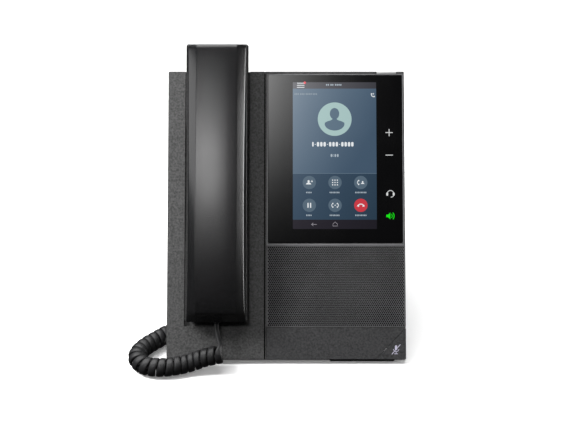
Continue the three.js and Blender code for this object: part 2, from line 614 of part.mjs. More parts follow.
// ---------------------------------------------------------------- handset cord
// Points in the finished frame: a short lead from the handset, the coiled length that loops
// round the left edge and doubles back behind the phone, and the lead up to the handset jack.
const cord = new THREE.Group();
phone.add(cord);

const coilAxis = [
  [-50, -81.8, 14.6], [-54.5, -81.8, 13.3], [-60, -81.6, 11.6], [-66, -82, 9.3], [-73, -83.3, 7.5],
  [-80, -85.1, 7], [-87, -86.6, 7], [-94, -86.8, 7], [-100.5, -85.2, 7], [-105.3, -81.4, 7],
  [-107.8, -76.2, 7], [-107.9, -70.6, 7], [-105.5, -64.6, 7], [-101.3, -58.2, 7],
  [-96, -51.8, 7], [-90.5, -46, 7], [-83.5, -41.2, 7], [-74, -38, 7], [-63, -36.4, 7],
  [-52, -36, 7], [-41, -35, 7], [-31, -31.6, 7], [-24, -25.2, 7], [-21.6, -17, 7],
  [-25.2, -9.4, 7], [-33, -5, 7], [-43, -3, 7], [-53, -2, 7],
];
const handsetLead = [
  [-51, -64.6, 30.5], [-50.6, -69, 25.4], [-49.2, -73.8, 21.4], [-46, -78, 18.6],
  [-43.6, -80.8, 16.8], [-45, -81.8, 15.8], [-49.3, -81.8, 14.8],
];
const baseLead = [
  [-53.6, -1.9, 7], [-58.5, -1.6, 8.2], [-62.6, -2.8, 12.5], [-63.4, -5.6, 20],
  [-62.8, -8.6, 29], [-62.2, -10.2, 38], [-62, -9.8, 46], [-62, -7, 54.2], [-62, -2.7, 61.2],
];

const route = (points) => new THREE.CatmullRomCurve3(points.map((p) => new THREE.Vector3(...p)));

put(cord, 'cord_coil', tube(route(coilAxis), CORD_COIL_RADIUS, 10, 40), cordJacket);
put(cord, 'cord_handset_lead', tube(route(handsetLead), CORD_LEAD_RADIUS, 8, 20), cordJacket);
put(cord, 'cord_base_lead', tube(route(baseLead), CORD_LEAD_RADIUS, 8, 24), cordJacket);

export default phone;
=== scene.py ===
import json
import math

import bpy
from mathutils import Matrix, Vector


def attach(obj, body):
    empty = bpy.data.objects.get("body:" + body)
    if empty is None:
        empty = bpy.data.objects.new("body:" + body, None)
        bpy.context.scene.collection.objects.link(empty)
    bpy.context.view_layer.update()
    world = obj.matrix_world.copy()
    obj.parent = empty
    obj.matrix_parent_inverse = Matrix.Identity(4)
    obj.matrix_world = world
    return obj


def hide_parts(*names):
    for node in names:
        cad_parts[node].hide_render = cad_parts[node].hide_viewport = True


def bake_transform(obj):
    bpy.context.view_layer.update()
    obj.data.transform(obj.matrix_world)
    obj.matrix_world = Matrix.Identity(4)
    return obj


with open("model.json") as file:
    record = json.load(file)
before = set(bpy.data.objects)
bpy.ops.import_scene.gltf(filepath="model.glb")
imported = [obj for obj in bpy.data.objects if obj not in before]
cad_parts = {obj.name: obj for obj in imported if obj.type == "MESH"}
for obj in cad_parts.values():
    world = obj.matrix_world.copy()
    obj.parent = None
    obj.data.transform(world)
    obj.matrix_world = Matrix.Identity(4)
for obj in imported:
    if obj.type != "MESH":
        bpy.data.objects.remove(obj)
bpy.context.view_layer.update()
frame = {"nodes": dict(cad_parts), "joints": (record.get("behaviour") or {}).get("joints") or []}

nodes = frame["nodes"]
MM = 0.001


# ---------------------------------------------------------------- camera
# The phone is seen nearly square to its leaning face, through a long lens about a metre away.
# The face's own directions come from the joints: the tab slides up it, the mute key pushes in.
slide = {joint["name"]: Vector(joint["axis"]).normalized() for joint in frame["joints"]}
face_up = slide["tab_slide"]
face_out = -slide["mute_press"]
edge_to_trim = 1.1 * MM
face_level = max(v.co.dot(face_out) for v in nodes["lower_trim_bar"].data.vertices)
face_foot = min(v.co.dot(face_up) for v in nodes["lower_trim_bar"].data.vertices) - edge_to_trim


def on_face(x, up, out=0.0):
    """Place in millimetres across the face, up it from its lower edge, and out of it."""
    across = Vector((x * MM, 0, 0))
    return across + face_up * (face_foot + up * MM) + face_out * (face_level + out * MM)


view_height = math.radians(30)
view_distance = 1.0
view_width = 0.4244
aim = on_face(0.2, 107.4)
camera_data = bpy.data.cameras.new("studio_camera")
camera_data.sensor_width = 36
camera_data.lens = camera_data.sensor_width * view_distance / view_width
camera = bpy.data.objects.new("studio_camera", camera_data)
camera.location = aim + Vector((0, -math.cos(view_height), math.sin(view_height))) * view_distance
camera.rotation_euler = (math.pi / 2 - view_height, 0, 0)
bpy.context.scene.collection.objects.link(camera)
bpy.context.scene.camera = camera


# ---------------------------------------------------------------- handset cord
# A flat four-core cord in a soft black jacket, wound hot on a mandrel so that it springs back. It
# clips into the handset, curls round the left edge of the phone and ends in the base socket.
def linear(red, green, blue):
    levels = [c / 255 for c in (red, green, blue)]
    return tuple(c / 12.92 if c <= 0.04045 else ((c + 0.055) / 1.055) ** 2.4 for c in levels)


def material(name, color, roughness, **sockets):
    made = bpy.data.materials.new(name)
    made.use_nodes = True
    shader = made.node_tree.nodes["Principled BSDF"]
    shader.inputs["Base Color"].default_value = (*color, 1)
    shader.inputs["Roughness"].default_value = roughness
    for key, value in sockets.items():
        shader.inputs[key.replace("_", " ")].default_value = value
    return made


def shader_of(made):
    return made.node_tree.nodes["Principled BSDF"]


def add_node(made, kind, **values):
    node = made.node_tree.nodes.new(kind)
    for key, value in values.items():
        socket = key.replace("_", " ")
        if socket in node.inputs:
            node.inputs[socket].default_value = value
        else:
            setattr(node, key, value)
    return node


def noise(made, size, detail=3.0, stretch=(1, 1, 1)):
    """Noise whose lumps are about `size` metres across, longer along any stretched direction."""
    links = made.node_tree.links
    place = add_node(made, "ShaderNodeTexCoord")
    scale = add_node(made, "ShaderNodeMapping", Scale=[1 / s for s in stretch])
    cloud = add_node(made, "ShaderNodeTexNoise", Scale=0.5 / size, Detail=detail)
    links.new(place.outputs["Object"], scale.inputs["Vector"])
    links.new(scale.outputs["Vector"], cloud.inputs["Vector"])
    return cloud.outputs["Fac"]


def add_grain(made, size, depth, stretch=(1, 1, 1)):
    """Fine bump all over, as a moulding tool's etched surface leaves."""
    bump = add_node(made, "ShaderNodeBump", Distance=depth)
    made.node_tree.links.new(noise(made, size, 2.0, stretch), bump.inputs["Height"])
    made.node_tree.links.new(bump.outputs["Normal"], shader_of(made).inputs["Normal"])
    return made


def add_mottle(made, size, amount, stretch=(1, 1, 1)):
    """Base colour that drifts lighter and darker by `amount`."""
    socket = shader_of(made).inputs["Base Color"]
    color = tuple(socket.default_value)[:3]
    ramp = add_node(made, "ShaderNodeValToRGB")
    for element, place, level in zip(ramp.color_ramp.elements, (0.3, 0.7), (1 - amount, 1 + amount)):
        element.position = place
        element.color = (*[c * level for c in color], 1)
    made.node_tree.links.new(noise(made, size, 4.0, stretch), ramp.inputs["Fac"])
    made.node_tree.links.new(ramp.outputs["Color"], socket)
    return made


def add_wear(made, size, least, most):
    """Roughness that wanders between two levels, from handling and dust."""
    spread = add_node(made, "ShaderNodeMapRange", To_Min=least, To_Max=most)
    spread.inputs["From Min"].default_value = 0.3
    spread.inputs["From Max"].default_value = 0.7
    made.node_tree.links.new(noise(made, size, 5.0), spread.inputs["Value"])
    made.node_tree.links.new(spread.outputs["Result"], shader_of(made).inputs["Roughness"])
    return made


def mesh_piece(name, points, faces, *coats, smooth=True):
    data = bpy.data.meshes.new(name)
    data.from_pydata([tuple(p) for p in points], [], faces)
    data.update()
    for coat in coats:
        data.materials.append(coat)
    if smooth:
        data.shade_smooth()
    piece = bpy.data.objects.new(name, data)
    bpy.context.scene.collection.objects.link(piece)
    return piece


def smooth_line(points, steps):
    """Catmull-Rom curve through the points, `steps` to a span."""
    ends = [points[0] * 2 - points[1], *points, points[-1] * 2 - points[-2]]
    line = []
    for a, b, c, d in zip(ends, ends[1:], ends[2:], ends[3:]):
        for step in range(steps):
            t = step / steps
            line.append((b * 2 + (c - a) * t + (a * 2 - b * 5 + c * 4 - d) * t ** 2
                         + (b * 3 - a - c * 3 + d) * t ** 3) / 2)
    return [*line, points[-1]]


def millimetres(*rows):
    return [Vector(row) * MM for row in rows]


strand_width = 4.9 * MM
strand_thickness = 2.4 * MM
winding_radius = 5.7 * MM
winding_pitch = 5.45 * MM
steps_per_turn = 20
coil_axis = millimetres(
    (-48.3, -81.8, 15.2), (-54.5, -81.8, 13.3), (-60, -81.6, 11.6), (-66, -82, 9.3),
    (-73, -83.3, 7.5), (-80, -85.1, 7), (-87, -86.6, 7), (-94, -86.8, 7), (-101, -85.4, 7),
    (-106, -81.6, 7), (-108.8, -76.2, 7), (-108.8, -70.4, 7), (-106.3, -64.3, 7),
    (-101.8, -58, 7), (-96, -51.8, 7), (-90.5, -46, 7), (-83.5, -41.2, 7), (-74, -38, 7),
    (-63, -36.4, 7), (-52, -36, 7), (-41, -35, 7), (-31, -31.6, 7), (-24, -25.2, 7),
    (-21.6, -17, 7), (-25.2, -9.4, 7), (-33, -5, 7), (-43, -3, 7), (-53, -2, 7))
handset_lead = millimetres(
    (-51, -64.6, 30.5), (-50.6, -68, 27), (-49.8, -71.8, 24.6), (-48.8, -75.8, 23),
    (-47.8, -79.6, 21.8))
base_lead = millimetres(
    (-60.6, -1.6, 17.6), (-62.6, -5.4, 22.5), (-62.8, -8.4, 29.4),
    (-62.2, -10.2, 38), (-62, -9.8, 46), (-62, -7, 54.2), (-62, -2.7, 61.2))

coil_line = smooth_line(coil_axis, 24)
travelled = [0.0]
for here, there in zip(coil_line, coil_line[1:]):
    travelled.append(travelled[-1] + (there - here).length)
coil_length = travelled[-1]


def along_coil(distance):
    """Point and heading of the winding's axis at a distance from its front end."""
    distance = min(max(distance, 0), coil_length)
    far = next(i for i, reach in enumerate(travelled) if reach >= distance and i)
    share = (distance - travelled[far - 1]) / (travelled[far] - travelled[far - 1])
    heading = coil_line[min(far + 8, len(coil_line) - 1)] - coil_line[max(far - 9, 0)]
    return coil_line[far - 1].lerp(coil_line[far], share), heading.normalized()


first_angle = math.radians(-30)
first_share = first_angle / math.tau
turns = round(coil_length / winding_pitch + first_share - 0.5) + 0.5 - first_share
widest = 1.12 * strand_width
turn_fill = 0.93
reach = 5 * MM
strand = []
for step in range(int(turns * steps_per_turn) + 1):
    angle = first_angle + step * math.tau / steps_per_turn
    distance = coil_length * step / (turns * steps_per_turn)
    centre, heading = along_coil(distance)
    lower = Vector((0, 0, -1)) + heading * heading.z
    lower.normalize()
    outward = heading.cross(lower) * math.cos(angle) + lower * math.sin(angle)
    bend = (along_coil(distance + reach)[1] - along_coil(distance - reach)[1]) / (2 * reach)
    room = winding_pitch * (1 - bend.dot(outward) * winding_radius)
    strand.append((centre + outward * winding_radius, outward, min(widest, room * turn_fill)))



def curl(start, way_out, end, way_in, steps=10):
    """Smooth run between two ends whose headings are given, without its own end points."""
    pull = (end - start).length
    run = []
    for step in range(1, steps):
        t = step / steps
        run.append(start * (2 * t ** 3 - 3 * t ** 2 + 1) + way_out * pull * (t ** 3 - 2 * t ** 2 + t)
                   + end * (3 * t ** 2 - 2 * t ** 3) + way_in * pull * (t ** 3 - t ** 2))
    return run


front_line = smooth_line(handset_lead, 6)
front_line += curl(front_line[-1], (front_line[-1] - front_line[-2]).normalized(), strand[0][0],
                   (strand[1][0] - strand[0][0]).normalized())
rear_line = smooth_line(base_lead, 6)
rear_line = curl(strand[-1][0], (strand[-1][0] - strand[-2][0]).normalized(), rear_line[0],
                 (rear_line[1] - rear_line[0]).normalized()) + rear_line
lead_side = Vector((0.55, -0.8, 0.25)).normalized()
lead_width = 4.0 * MM
twist_from = 20
front = []
for i, place in enumerate(front_line):
    share = max(0.0, (i - twist_from) / (len(front_line) - twist_from)) ** 2
    front.append((place, lead_side.slerp(strand[0][1], share),
                  lead_width + (strand_width - lead_width) * share))
rear = [(place, strand[-1][1].slerp(lead_side, min(1, i / twist_from)), strand_width)
        for i, place in enumerate(rear_line)]
strand = front + strand + rear

corner = 0.7
ring = 12
section = []
for i in range(ring):
    turn = math.tau * (i + 0.5) / ring
    across, thick = math.cos(turn), math.sin(turn)
    section.append((math.copysign(abs(across) ** corner, across) / 2,
                    math.copysign(abs(thick) ** corner, thick) / 2))
cord_points, cord_faces = [], []
for i, (centre, thin_way, width) in enumerate(strand):
    heading = (strand[min(i + 1, len(strand) - 1)][0] - strand[max(i - 1, 0)][0]).normalized()
    thin_way = (thin_way - heading * thin_way.dot(heading)).normalized()
    wide_way = heading.cross(thin_way)
    for across, thick in section:
        cord_points.append(centre + wide_way * across * width + thin_way * thick * strand_thickness)
for i in range(len(strand) - 1):
    for j in range(ring):
        k = (j + 1) % ring
        cord_faces.append((i * ring + j, i * ring + k, (i + 1) * ring + k, (i + 1) * ring + j))
cord_faces.append(tuple(reversed(range(ring))))
cord_faces.append(tuple(range(len(cord_points) - ring, len(cord_points))))

jacket = material("cord_jacket", linear(29, 29, 30), 0.36, Specular_IOR_Level=0.5)
add_grain(jacket, 0.5 * MM, 0.03 * MM)
add_mottle(jacket, 4 * MM, 0.2)
add_wear(jacket, 6 * MM, 0.34, 0.52)
cord = mesh_piece("handset_cord", cord_points, cord_faces, jacket)


def dress(node, coat):
    nodes[node].data.materials.clear()
    nodes[node].data.materials.append(coat)
    return nodes[node]


clear_plastic = material("smoked_plug", linear(38, 40, 42), 0.2, Transmission_Weight=0.3, IOR=1.58)
add_grain(clear_plastic, 1.5 * MM, 0.02 * MM)
plugs = [dress(name, clear_plastic) for name in ("handset_plug", "base_plug")]
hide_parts("cord_coil", "cord_handset_lead", "cord_base_lead")
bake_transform(cord)


# ---------------------------------------------------------------- floor and studio light
# A plain white sweep under one broad overhead light. A soft box on the left lights the handset
# without showing in it, a small strip on the left and a tall one on the right show as its bright
# lines, and the studio round them is dark but for one soft glow.
paper = material("studio_floor", (0.94, 0.94, 0.94), 0.9, Specular_IOR_Level=0.1,
                 Emission_Color=(1, 1, 1, 1), Emission_Strength=0.15)
floor_half = 60
floor_corners = [(-floor_half, -floor_half, 0), (floor_half, -floor_half, 0),
                 (floor_half, floor_half, 0), (-floor_half, floor_half, 0)]
floor = mesh_piece("studio_floor", floor_corners, [(0, 1, 2, 3)], paper, smooth=False)
floor.visible_diffuse = False
floor.visible_glossy = False


def soft_light(name, kind, direction, distance, energy, size=0.0, height=0.0):
    data = bpy.data.lights.new(name, kind)
    data.energy = energy
    if kind == "AREA":
        data.shape = "RECTANGLE"
        data.size = size
        data.size_y = height
    else:
        data.angle = size
    lamp = bpy.data.objects.new(name, data)
    lamp.location = aim + Vector(direction).normalized() * distance
    lamp.rotation_euler = Vector(direction).to_track_quat("Z", "Y").to_euler()
    lamp.visible_camera = False
    bpy.context.scene.collection.objects.link(lamp)
    return lamp


soft_light("overhead", "SUN", (-0.15, 0.3, 1), 2, 3.4, math.radians(70))
soft_light("left_box", "AREA", (-0.36, -0.1, 0.24), 0.44, 3.4, 0.14, 0.14).visible_glossy = False
soft_light("left_strip", "AREA", (-0.9, -0.16, 0.4), 0.4, 0.3, 0.3, 0.16).visible_diffuse = False
soft_light("right_strip", "AREA", (1, 0.09, -0.04), 1.3, 18, 0.3, 1.4)

world = bpy.data.worlds.new("studio")
world.use_nodes = True
bpy.context.scene.world = world
tree = world.node_tree


def sum_node(operation, first, second=0.0):
    made = tree.nodes.new("ShaderNodeMath")
    made.operation = operation
    for socket, value in zip(made.inputs, (first, second)):
        if isinstance(value, float):
            socket.default_value = value
        else:
            tree.links.new(value, socket)
    return made.outputs["Value"]


def heading_share(way):
    made = tree.nodes.new("ShaderNodeVectorMath")
    made.operation = "DOT_PRODUCT"
    made.inputs[1].default_value = way
    tree.links.new(sky.outputs["Generated"], made.inputs[0])
    return made.outputs["Value"]


sky = tree.nodes.new("ShaderNodeTexCoord")
lamp_turn, lamp_height = math.radians(-5), math.radians(46.5)
level_reach = math.cos(lamp_height)
lamp_way = Vector((math.sin(lamp_turn) * level_reach, -math.cos(lamp_turn) * level_reach,
                   math.sin(lamp_height)))
lamp_right = Vector((math.cos(lamp_turn), math.sin(lamp_turn), 0))
lamp_up = lamp_right.cross(-lamp_way).normalized()
right_spread, left_spread, height_spread = 0.04, 0.2, 0.05
glow_strength, studio_dimness = 10.0, 0.035
sideways = heading_share(lamp_right)
right_part = sum_node("DIVIDE", sum_node("MAXIMUM", sideways, 0.0), right_spread)
left_part = sum_node("DIVIDE", sum_node("MINIMUM", sideways, 0.0), left_spread)
upward = sum_node("DIVIDE", heading_share(lamp_up), height_spread)
right_square = sum_node("MULTIPLY", right_part, right_part)
left_square = sum_node("MULTIPLY", left_part, left_part)
spread = sum_node("ADD", right_square, left_square)
spread = sum_node("ADD", spread, sum_node("MULTIPLY", upward, upward))
fall = sum_node("EXPONENT", sum_node("MULTIPLY", spread, -0.5))
in_front = sum_node("GREATER_THAN", heading_share(lamp_way), 0.0)
glow = sum_node("MULTIPLY", sum_node("MULTIPLY", fall, in_front), glow_strength)
tree.nodes["Background"].inputs["Color"].default_value = (1, 1, 1, 1)
tree.links.new(sum_node("ADD", glow, studio_dimness), tree.nodes["Background"].inputs["Strength"])
bpy.context.scene.view_settings.view_transform = "Standard"


# ---------------------------------------------------------------- front and rear housings
# Two moulded ABS shells with an etched grain, screwed together from the back. The front one has
# the cradle for the handset on the left and the recesses for glass, grille and trim on the right.
def soften(node, width, segments=2):
    """Rounds the sharp corners of a moulding as its tool does."""
    weld = nodes[node].modifiers.new("weld", "WELD")
    weld.merge_threshold = 0.005 * MM
    round_off = nodes[node].modifiers.new("rounded_corners", "BEVEL")
    round_off.width = width
    round_off.segments = segments
    round_off.limit_method = "ANGLE"
    round_off.angle_limit = math.radians(35)
    round_off.harden_normals = True


shell_plastic = material("charcoal_plastic", linear(64, 64, 64), 0.5, Specular_IOR_Level=0.45)
add_grain(shell_plastic, 0.5 * MM, 0.16 * MM)
add_mottle(shell_plastic, 0.7 * MM, 0.55)
add_wear(shell_plastic, 30 * MM, 0.44, 0.58)
for node in ("front_housing", "rear_housing"):
    dress(node, shell_plastic)
    soften(node, 0.25 * MM)



# ---------------------------------------------------------------- painted groove shade
# A narrow near-black strip laid in the groove between the cradle side and the display side: painted
# shade, standing in for the shadow deep in the groove.
groove_left, groove_right = -16.4, -15.5
shade_strip_back, shade_strip_front = -1.9, -0.75
shade_strip_foot, shade_strip_head = 0.9, 213.6
shade_strip_spans = 60
shade_strip_wave = 0.03
# The near-black colour is painted shade: the groove's own shadow, not a part of the phone.
groove_shade_paint = material("painted_groove_shade", linear(6, 6, 6), 0.95, Specular_IOR_Level=0.05)
add_grain(groove_shade_paint, 0.4 * MM, 0.05 * MM)
add_mottle(groove_shade_paint, 2 * MM, 0.3)
shade_strip_section = ((groove_left, shade_strip_back), (groove_right, shade_strip_back), (groove_right, shade_strip_front),
                (groove_left, shade_strip_front))
shade_strip_points = []
for i in range(shade_strip_spans + 1):
    v = shade_strip_foot + (shade_strip_head - shade_strip_foot) * i / shade_strip_spans
    shade_strip_points += [on_face(x, v, out + shade_strip_wave * math.sin(i * 1.7)) for x, out in shade_strip_section]
shade_strip_faces = [(4 * i + j, 4 * i + (j + 1) % 4, 4 * i + 4 + (j + 1) % 4, 4 * i + 4 + j)
              for i in range(shade_strip_spans) for j in range(4)]
shade_strip_end = 4 * shade_strip_spans
shade_strip_faces += [(3, 2, 1, 0), (shade_strip_end, shade_strip_end + 1, shade_strip_end + 2, shade_strip_end + 3)]
painted_groove_shade = mesh_piece("painted_groove_shade", shade_strip_points, shade_strip_faces, groove_shade_paint, smooth=False)
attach(painted_groove_shade, "phone_body")


# ---------------------------------------------------------------- display glass
# One sheet of strengthened glass, printed black behind, set in a thin frame whose light grey is a
# painted highlight along the glass edges. It covers the display and the touch keys to the right of it.
glass = material("cover_glass", linear(6, 6, 7), 0.05, IOR=1.52)
add_wear(glass, 18 * MM, 0.03, 0.09)
dress("display_glass", glass)
soften("display_glass", 0.2 * MM)

# Light grey on the frame is a painted highlight: it stands in for light caught along the glass edges.
edge_highlight_paint = material("glass_edge_highlight_paint", linear(104, 104, 106), 0.32, Specular_IOR_Level=0.6)
add_grain(edge_highlight_paint, 0.4 * MM, 0.02 * MM)
add_mottle(edge_highlight_paint, 5 * MM, 0.08)
inner = (-13.7, 86.5, 85.9, 212.4)
outer = (-14.6, 87.3, 84.6, 213.1)
frame_back, frame_front = -0.5, 0.25
frame_points = []
for out in (frame_back, frame_front):
    for left, right, low, high in (outer, inner):
        frame_corners = ((left, low), (right, low), (right, high), (left, high))
        frame_points += [on_face(x, v, out) for x, v in frame_corners]
frame_faces = []
for i in range(4):
    j = (i + 1) % 4
    frame_faces += [(8 + i, 8 + j, 12 + j, 12 + i), (4 + i, 4 + j, j, i), (i, j, 8 + j, 8 + i),
                    (12 + i, 12 + j, 4 + j, 4 + i)]
glass_highlight_frame = mesh_piece("glass_highlight_frame", frame_points, frame_faces, edge_highlight_paint, smooth=False)
rounding = glass_highlight_frame.modifiers.new("rounded_corners", "BEVEL")
rounding.width = 0.15 * MM
rounding.segments = 2
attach(glass_highlight_frame, "phone_body")


# ---------------------------------------------------------------- lit display
# A five inch portrait panel under the glass, showing a call: a plain figure for the caller, bars
# and dots where words and numbers would be, and six round keys.
screen_left, screen_foot = 4.9, 97.0
screen_width, screen_height = 62.2, 109.9
nav_top, key_field_top, call_foot, call_top = 6.9, 41.2, 41.5, 105.1


def signed_area(outline):
    return sum(a[0] * b[1] - b[0] * a[1] for a, b in zip(outline, outline[1:] + outline[:1])) / 2


def flat_marks(name, outlines, level, coat, body="phone_body", thick=0.05):
    """Thin closed plates on the face, one for each outline, whose tops are `level` above it."""
    points, faces = [], []
    for outline in outlines:
        if signed_area(outline) < 0:
            outline = outline[::-1]
        start, count = len(points), len(outline)
        points += [on_face(x, v, level - thick) for x, v in outline]
        points += [on_face(x, v, level) for x, v in outline]
        faces.append(tuple(range(start + count - 1, start - 1, -1)))
        faces.append(tuple(range(start + count, start + 2 * count)))
        for i in range(count):
            j = (i + 1) % count
            faces.append((start + i, start + j, start + count + j, start + count + i))
    piece = mesh_piece(name, points, faces, coat, smooth=False)
    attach(piece, body)
    return piece


def lit(name, color, strength=1.0):
    return material(name, (0, 0, 0), 0.06, IOR=1.52, Emission_Color=(*color, 1), Emission_Strength=strength)


def lit_drift(name, way, start, end, first, second, cloud=0.0):
    """Lit colour that drifts from first to second along a direction, with a soft cloud in it."""
    made = lit(name, first)
    place = add_node(made, "ShaderNodeTexCoord")
    along = add_node(made, "ShaderNodeVectorMath", operation="DOT_PRODUCT")
    along.inputs[1].default_value = way
    share = add_node(made, "ShaderNodeMapRange")
    share.inputs["From Min"].default_value = start
    share.inputs["From Max"].default_value = end
    stir = add_node(made, "ShaderNodeMath", operation="MULTIPLY_ADD")
    stir.inputs[1].default_value = cloud
    ramp = add_node(made, "ShaderNodeValToRGB")
    ramp.color_ramp.elements[0].color = (*first, 1)
    ramp.color_ramp.elements[1].color = (*second, 1)
    links = made.node_tree.links
    links.new(place.outputs["Object"], along.inputs[0])
    links.new(along.outputs["Value"], share.inputs["Value"])
    links.new(noise(made, 16 * MM, 1.0), stir.inputs[0])
    links.new(share.outputs["Result"], stir.inputs[2])
    links.new(stir.outputs["Value"], ramp.inputs["Fac"])
    links.new(ramp.outputs["Color"], shader_of(made).inputs["Emission Color"])
    return made


def rectangle(left, low, right, high):
    return [(screen_left + x, screen_foot + v)
            for x, v in ((left, low), (right, low), (right, high), (left, high))]


def pill(left, low, right, high):
    """Upright or level bar with round ends."""
    radius = min(right - left, high - low) / 2
    points = []
    for x, v, start in ((right - radius, low + radius, -90), (right - radius, high - radius, 0),
                        (left + radius, high - radius, 90), (left + radius, low + radius, 180)):
        for step in range(5):
            turn = math.radians(start + step * 22.5)
            points.append((screen_left + x + radius * math.cos(turn),
                           screen_foot + v + radius * math.sin(turn)))
    return points


def round_mark(x, v, radius, radius_up=None, start=0, sweep=360, count=32):
    last = count if sweep == 360 else count + 1
    turns_round = [math.radians(start + sweep * i / count) for i in range(last)]
    return [(screen_left + x + radius * math.cos(t), screen_foot + v + (radius_up or radius) * math.sin(t))
            for t in turns_round]


def stroke(line, width):
    """Band of even width along a line of places on the screen."""
    left, right = [], []
    for i, (x, v) in enumerate(line):
        x0, v0 = line[max(i - 1, 0)]
        x1, v1 = line[min(i + 1, len(line) - 1)]
        size = math.hypot(x1 - x0, v1 - v0)
        side_x, side_v = -(v1 - v0) / size * width / 2, (x1 - x0) / size * width / 2
        left.append((screen_left + x + side_x, screen_foot + v + side_v))
        right.append((screen_left + x - side_x, screen_foot + v - side_v))
    return left + right[::-1]


def arc(x, v, radius, start, end, count=12):
    return [(x + radius * math.cos(math.radians(start + (end - start) * i / count)),
             v + radius * math.sin(math.radians(start + (end - start) * i / count)))
            for i in range(count + 1)]


def receiver_mark(x, v, size, turn):
    """Handset sign: a curved bar with a thick pad at each end."""
    bow = arc(x, v, size, turn - 62, turn + 62)
    pads = [arc(x, v, size * 0.93, turn + side * 62 - 13, turn + side * 62 + 13, 4) for side in (-1, 1)]
    return [stroke(bow, size * 0.3), *[stroke(pad, size * 0.62) for pad in pads]]


def person_mark(x, v, size):
    """Head and shoulders as one plain outline."""
    return [round_mark(x, v + size * 0.42, size * 0.4, size * 0.46),
            round_mark(x, v - size * 0.72, size * 0.95, size * 0.72, 0, 180)]


def plus_mark(x, v, reach, width):
    return [rectangle(x - reach, v - width / 2, x + reach, v + width / 2),
            rectangle(x - width / 2, v - reach, x + width / 2, v - width / 2),
            rectangle(x - width / 2, v + width / 2, x + width / 2, v + reach)]


across_screen = Vector((0.86, 0, 0)) - face_up * 0.5
lower_level, upper_level, top_level = 0.14, 0.18, 0.22
drift_left, drift_right = 0.005, 0.067
upper_blue = lit_drift("screen_upper", across_screen, -0.083, -0.005,
                       linear(104, 124, 142), linear(64, 84, 104), 0.16)
lower_blue = lit_drift("screen_lower", across_screen, -0.045, 0.03,
                       linear(58, 78, 98), linear(40, 58, 74), 0.1)
status_color = lit_drift("screen_status", Vector((1, 0, 0)), drift_left, drift_right,
                         linear(92, 92, 98), linear(58, 58, 64))
nav_color = lit_drift("screen_nav", Vector((1, 0, 0)), drift_left, drift_right,
                      linear(40, 37, 45), linear(30, 28, 35))
line_color = lit("screen_line", linear(100, 120, 136))
for name, low, high, coat in (("screen_call_picture", call_foot, call_top, upper_blue),
                              ("screen_key_field", nav_top, key_field_top, lower_blue),
                              ("screen_divider", key_field_top, call_foot, line_color),
                              ("screen_status_bar", call_top, screen_height, status_color),
                              ("screen_nav_bar", 0, nav_top, nav_color)):
    flat_marks(name, [rectangle(0, low, screen_width, high)], lower_level, coat)

mint = lit_drift("screen_mint", face_up, 0.165, 0.255, linear(164, 192, 190), linear(176, 202, 198))
flat_marks("caller_disc", [round_mark(31.2, 82.1, 12.6, count=64)], upper_level, mint)
figure_x = 31.1
shoulders = round_mark(figure_x, 78.6, 7.4, 5.1, 180, 180, 20)
collar = [(38.3, 79.4), (36.6, 80.4), (34.2, 81.1), (32.8, 81.9), (32.6, 83.2)]
collar = [(screen_left + x, screen_foot + v) for x, v in collar]
collar_left = [(2 * (screen_left + figure_x) - x, v) for x, v in reversed(collar)]
figure_head = round_mark(figure_x, 86.2, 3.5, 4.3)
flat_marks("caller_figure", [shoulders + collar + collar_left, figure_head], top_level,
           lit("screen_figure", linear(90, 111, 128)))

key_columns, key_rows = (12.2, 31.3, 50.4), (34.6, 17.6)
key_radius = 4.95
keys = [round_mark(x, v, key_radius, count=40) for v in key_rows for x in key_columns]
flat_marks("screen_keys", keys[:5], upper_level, lit("screen_key", linear(84, 102, 117)))
flat_marks("hang_up_key", keys[5:], upper_level, lit("screen_red", linear(199, 58, 69)))

white = lit("screen_white", linear(226, 230, 233))
pale = lit("screen_pale", linear(168, 180, 190))
faint = lit("screen_faint", linear(128, 142, 154))
white_marks = [pill(3.1, v, 8.7, v + 0.5) for v in (105.85, 107.4, 108.95)]
bar_x, bar_gap, dash = 14.4, 0.72, 0.95
dash_step = dash + 0.7
for group, width in ((1, 1.1), (3, 1.75), (3, 1.75), (4, 1.75)):
    for _ in range(group):
        white_marks.append(pill(bar_x, 61.5, bar_x + width, 64.95))
        bar_x += width + bar_gap
    if group < 4:
        white_marks.append(pill(bar_x, 62.9, bar_x + dash, 63.4))
        bar_x += dash_step
white_marks += person_mark(key_columns[0] - 0.5, key_rows[0], 2.0)
white_marks += plus_mark(key_columns[0] + 2.0, key_rows[0] + 0.9, 0.75, 0.42)
dot_half, dot_pitch = 0.42, 1.75
for x in (key_columns[1] - dot_pitch, key_columns[1], key_columns[1] + dot_pitch):
    for v in (key_rows[0] - dot_pitch, key_rows[0], key_rows[0] + dot_pitch):
        white_marks.append(rectangle(x - dot_half, v - dot_half, x + dot_half, v + dot_half))
white_marks += receiver_mark(key_columns[2] - 0.7, key_rows[0], 1.7, 180)
white_marks += person_mark(key_columns[2] + 1.4, key_rows[0] - 0.1, 1.35)
for x in (key_columns[0] - 0.95, key_columns[0] + 0.95):
    white_marks.append(pill(x - 0.45, key_rows[1] - 1.9, x + 0.45, key_rows[1] + 1.9))
white_marks += receiver_mark(key_columns[1] - 0.9, key_rows[1], 1.6, 180)
white_marks += receiver_mark(key_columns[1] + 0.9, key_rows[1], 1.6, 0)
white_marks += plus_mark(key_columns[1], key_rows[1], 0.5, 0.36)
white_marks += receiver_mark(key_columns[2], key_rows[1] - 1.5, 2.4, 90)
white_marks += receiver_mark(60.3, 100.7, 1.7, 225)
white_marks += plus_mark(60.1, 101.2, 0.6, 0.32)
flat_marks("screen_white_marks", white_marks, top_level, white)

